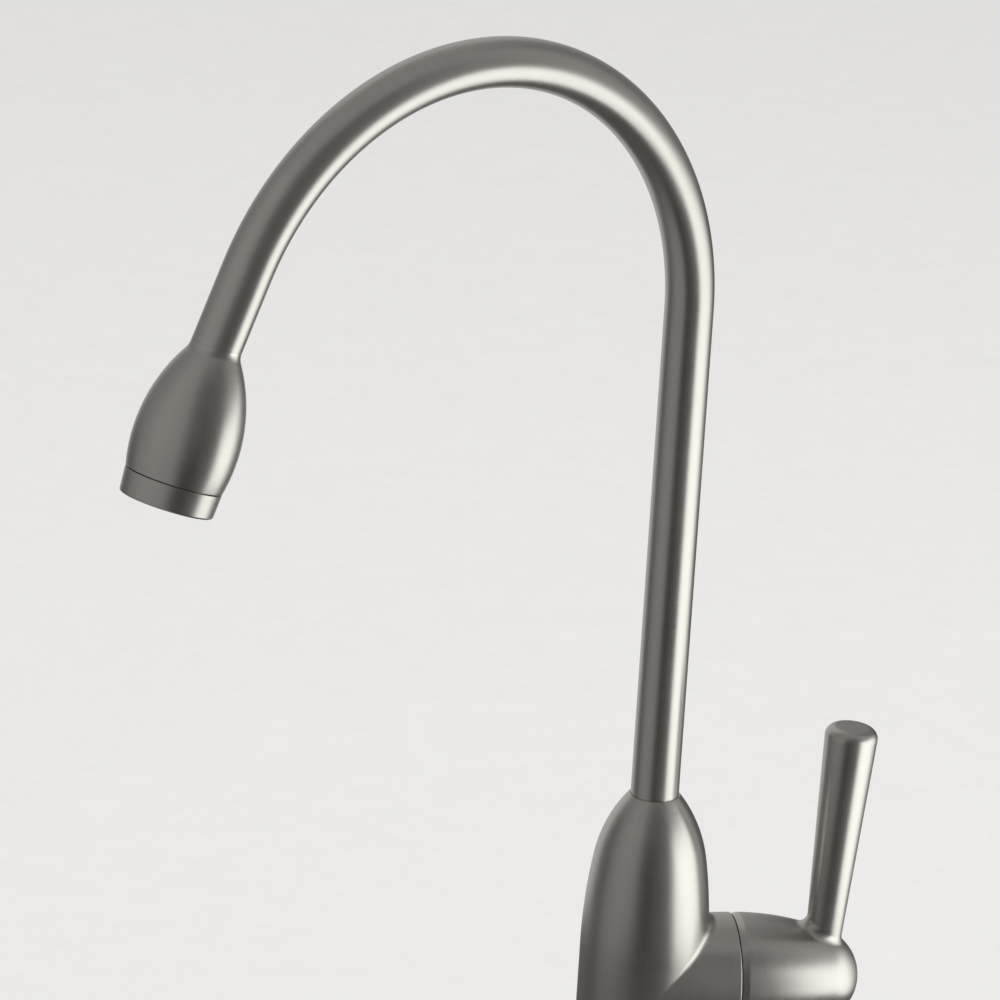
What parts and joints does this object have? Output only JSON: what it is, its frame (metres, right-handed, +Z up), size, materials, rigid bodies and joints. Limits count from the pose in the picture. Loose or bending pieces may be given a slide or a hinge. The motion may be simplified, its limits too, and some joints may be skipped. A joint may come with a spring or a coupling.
{
  "type": "drinking water filter tap",
  "caption": "Deck-mounted drinking water tap: bullet body, swivelling swan-neck spout with bulb outlet, quarter-turn side lever valve, threaded shank with push-fit inlet.",
  "frame": {"origin": "centre of the base gasket's underside, on the counter top", "axes": "+Z up along the body and riser, +X along the side valve towards the lever, -Y towards the user"},
  "size_m": [0.2011, 0.1089, 0.3841],
  "materials": {
    "brushed_steel": "satin brushed",
    "brass": "turned",
    "plain_steel": "zinc plated",
    "rubber": "matt",
    "ceramic": "lapped",
    "white_plastic": "moulded"
  },
  "bodies": {
    "body": {"body_shell": "brushed_steel", "base_flange": "brushed_steel", "base_gasket": "rubber", "threaded_shank": "brass", "shank_seal": "rubber", "inlet_adapter": "white_plastic", "inlet_o_ring": "rubber", "swivel_washer": "white_plastic", "cartridge_body": "brass", "cartridge_o_ring": "rubber", "seat_seal": "rubber", "fixed_disc": "ceramic"},
    "spout": {"spout_tube": "brushed_steel", "spout_ferrule": "brass", "spout_o_rings": "rubber", "spout_clip": "plain_steel", "outlet_bell": "brushed_steel", "aerator_ring": "brushed_steel", "aerator_washer": "rubber", "aerator_screen": "plain_steel", "aerator_insert": "white_plastic"},
    "lever": {"lever_handle": "brushed_steel", "grub_screw": "plain_steel", "valve_spindle": "brass", "moving_disc": "ceramic", "spindle_o_ring": "rubber", "spindle_clip": "plain_steel"},
    "clamp": {"rubber_washer": "rubber", "steel_washer": "plain_steel", "mounting_nut": "brass"},
    "collet": {"release_collet": "white_plastic"}
  },
  "joints": [
    {"name": "spout_swivel", "type": "hinge", "parent": "body", "child": "spout", "pos_m": [0, 0, 0.1], "axis": [0, 0, 1], "continuous": true},
    {"name": "lever_turn", "type": "hinge", "parent": "body", "child": "lever", "pos_m": [0, 0, 0.0505], "axis": [1, 0, 0], "range_deg": [0, 90]},
    {"name": "clamp_travel", "type": "slide", "parent": "body", "child": "clamp", "axis": [0, 0, 1], "range_m": [-0.009, 0.024]},
    {"name": "collet_press", "type": "slide", "parent": "body", "child": "collet", "axis": [0, 0, 1], "range_m": [0, 0.0015]}
  ]
}
